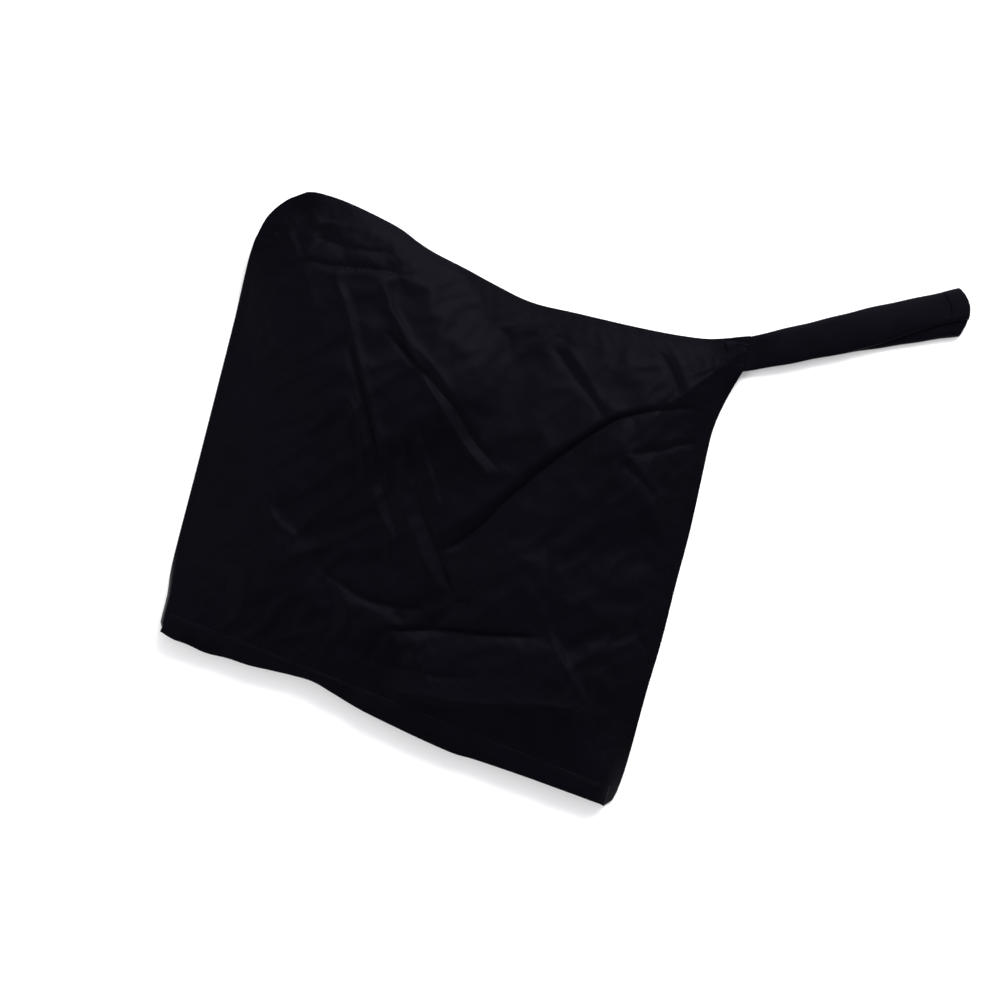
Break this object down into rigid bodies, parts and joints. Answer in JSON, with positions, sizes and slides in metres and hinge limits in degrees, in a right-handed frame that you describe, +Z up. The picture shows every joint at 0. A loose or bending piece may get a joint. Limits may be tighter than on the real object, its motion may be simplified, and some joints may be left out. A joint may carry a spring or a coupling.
{
  "type": "film changing bag",
  "caption": "Flat light-tight cloth bag with a lining bag inside, a zip across the mouth of each, a flap over the outer zip, and gathered arm sleeves with elastic cuffs.",
  "frame": {"origin": "middle of the whole bag's box in plan, on the surface it lies on", "axes": "+X along the zips towards the drawn-out sleeve's side, +Y from the zips towards the sleeves, +Z up from the surface the bag lies on"},
  "size_m": [0.6268, 0.5544, 0.0311],
  "materials": {
    "shell_cloth": "close plain-weave nylon with a dull coated sheen",
    "lining_cloth": "matt coated nylon",
    "zip_tape": "matt woven tape",
    "zip_teeth": "satin moulded nylon",
    "zip_metal": "black enamelled zinc",
    "cuff_elastic": "braided elastic tape"
  },
  "bodies": {
    "bag_body": {"outer_front_panel": "shell_cloth", "outer_back_panel": "shell_cloth", "lining_front_panel": "lining_cloth", "lining_back_panel": "lining_cloth", "outer_zip_front_tape": "zip_tape", "outer_zip_back_tape": "zip_tape", "inner_zip_front_tape": "zip_tape", "inner_zip_back_tape": "zip_tape", "outer_zip_front_teeth": "zip_teeth", "outer_zip_back_teeth": "zip_teeth", "inner_zip_front_teeth": "zip_teeth", "inner_zip_back_teeth": "zip_teeth", "outer_zip_closed_stop": "zip_metal", "outer_zip_open_stop": "zip_metal", "inner_zip_closed_stop": "zip_metal", "inner_zip_open_stop": "zip_metal"},
    "flap": {"zip_flap": "shell_cloth"},
    "outer_slider": {"outer_zip_slider": "zip_metal"},
    "outer_pull": {"outer_zip_pull": "zip_metal"},
    "inner_slider": {"inner_zip_slider": "zip_metal"},
    "inner_pull": {"inner_zip_pull": "zip_metal"},
    "right_sleeve": {"right_sleeve_outer": "shell_cloth", "right_sleeve_lining": "lining_cloth", "right_cuff_hem": "shell_cloth", "right_cuff_elastic": "cuff_elastic"},
    "left_sleeve": {"left_sleeve_outer": "shell_cloth", "left_sleeve_lining": "lining_cloth", "left_cuff_hem": "shell_cloth", "left_cuff_elastic": "cuff_elastic"}
  },
  "joints": [
    {"name": "outer_zip_slide", "type": "slide", "parent": "bag_body", "child": "outer_slider", "axis": [1, 0, 0], "range_m": [-0.367, 0]},
    {"name": "outer_zip_pull_swing", "type": "hinge", "parent": "outer_slider", "child": "outer_pull", "pos_m": [0.12961, -0.26507, 0.0093], "axis": [0, 0, 1], "range_deg": [0, 180]},
    {"name": "inner_zip_slide", "type": "slide", "parent": "bag_body", "child": "inner_slider", "axis": [1, 0, 0], "range_m": [-0.323, 0]},
    {"name": "inner_zip_pull_swing", "type": "hinge", "parent": "inner_slider", "child": "inner_pull", "pos_m": [0.10761, -0.22507, 0.0093], "axis": [0, 0, 1], "range_deg": [0, 180]},
    {"name": "zip_flap_lift", "type": "hinge", "parent": "bag_body", "child": "flap", "pos_m": [-0.0539, -0.25267, 0.0211], "axis": [-1, 0, 0], "range_deg": [0, 140]},
    {"name": "right_sleeve_fold", "type": "hinge", "parent": "bag_body", "child": "right_sleeve", "pos_m": [0.13007, 0.15183, 0.0113], "axis": [0.5299, -0.848, 0], "range_deg": [0, 150]},
    {"name": "left_sleeve_unfold", "type": "hinge", "parent": "bag_body", "child": "left_sleeve", "pos_m": [-0.29993, 0.12183, 0.0113], "axis": [0.5592, 0.829, 0], "range_deg": [0, 180]}
  ]
}
